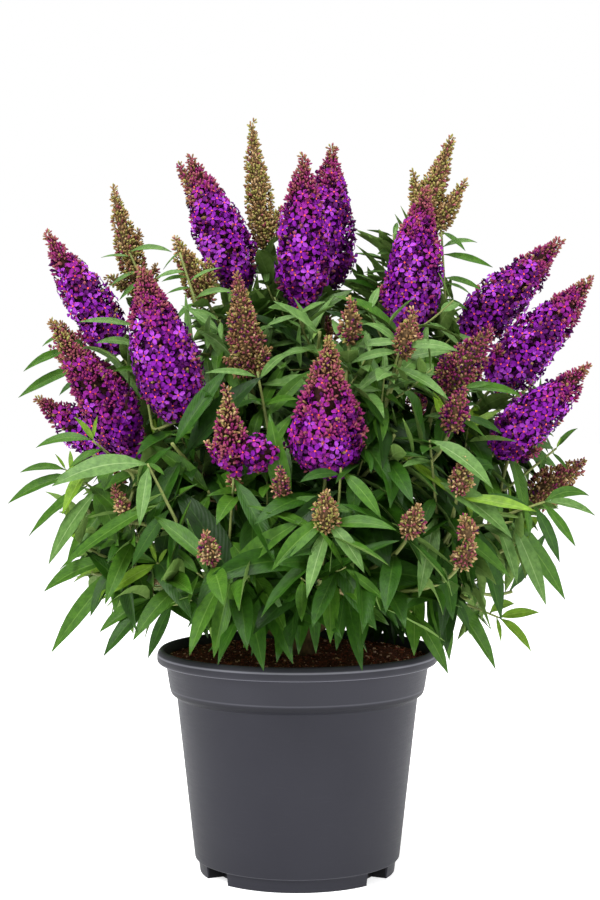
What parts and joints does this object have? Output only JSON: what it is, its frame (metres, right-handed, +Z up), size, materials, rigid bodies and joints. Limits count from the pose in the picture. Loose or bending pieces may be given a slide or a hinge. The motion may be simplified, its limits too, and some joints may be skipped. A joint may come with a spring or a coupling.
{
  "type": "butterfly bush",
  "caption": "Bushy flowering shrub with purple flower spikes, brown bud spikes and lance-shaped leaves, in a round nursery pot that stands on its flat base.",
  "frame": {"origin": "centre of the pot's flat underside", "axes": "+Z up, -Y towards the viewer of the front, +X to that viewer's right"},
  "size_m": [0.4624, 0.468, 0.6192],
  "materials": {
    "pot": "satin",
    "compost": "matte",
    "bark": "matte",
    "foliage": "satin",
    "blossom": "matte",
    "buds": "matte"
  },
  "bodies": {
    "root": {"bough_back_front": "bark", "bough_back_front_left": "bark", "bough_back_low_front": "bark", "bough_back_low_left": "bark", "bough_back_low_right": "bark", "bough_front": "bark", "bough_front_left": "bark", "bough_left": "bark", "bough_low_front": "bark", "bough_low_left": "bark", "bough_low_right": "bark", "bough_right": "bark", "bough_top": "bark", "bough_top_left": "bark", "bough_top_right": "bark", "compost": "compost", "crown_back_front": "foliage", "crown_back_front_left": "foliage", "crown_back_low_front": "foliage", "crown_back_low_left": "foliage", "crown_back_low_right": "foliage", "crown_front": "foliage", "crown_front_left": "foliage", "crown_left": "foliage", "crown_low_front": "foliage", "crown_low_left": "foliage", "crown_low_right": "foliage", "crown_right": "foliage", "crown_top": "foliage", "crown_top_left": "foliage", "crown_top_right": "foliage", "pot": "pot", "stump": "bark"}
  },
  "joints": []
}
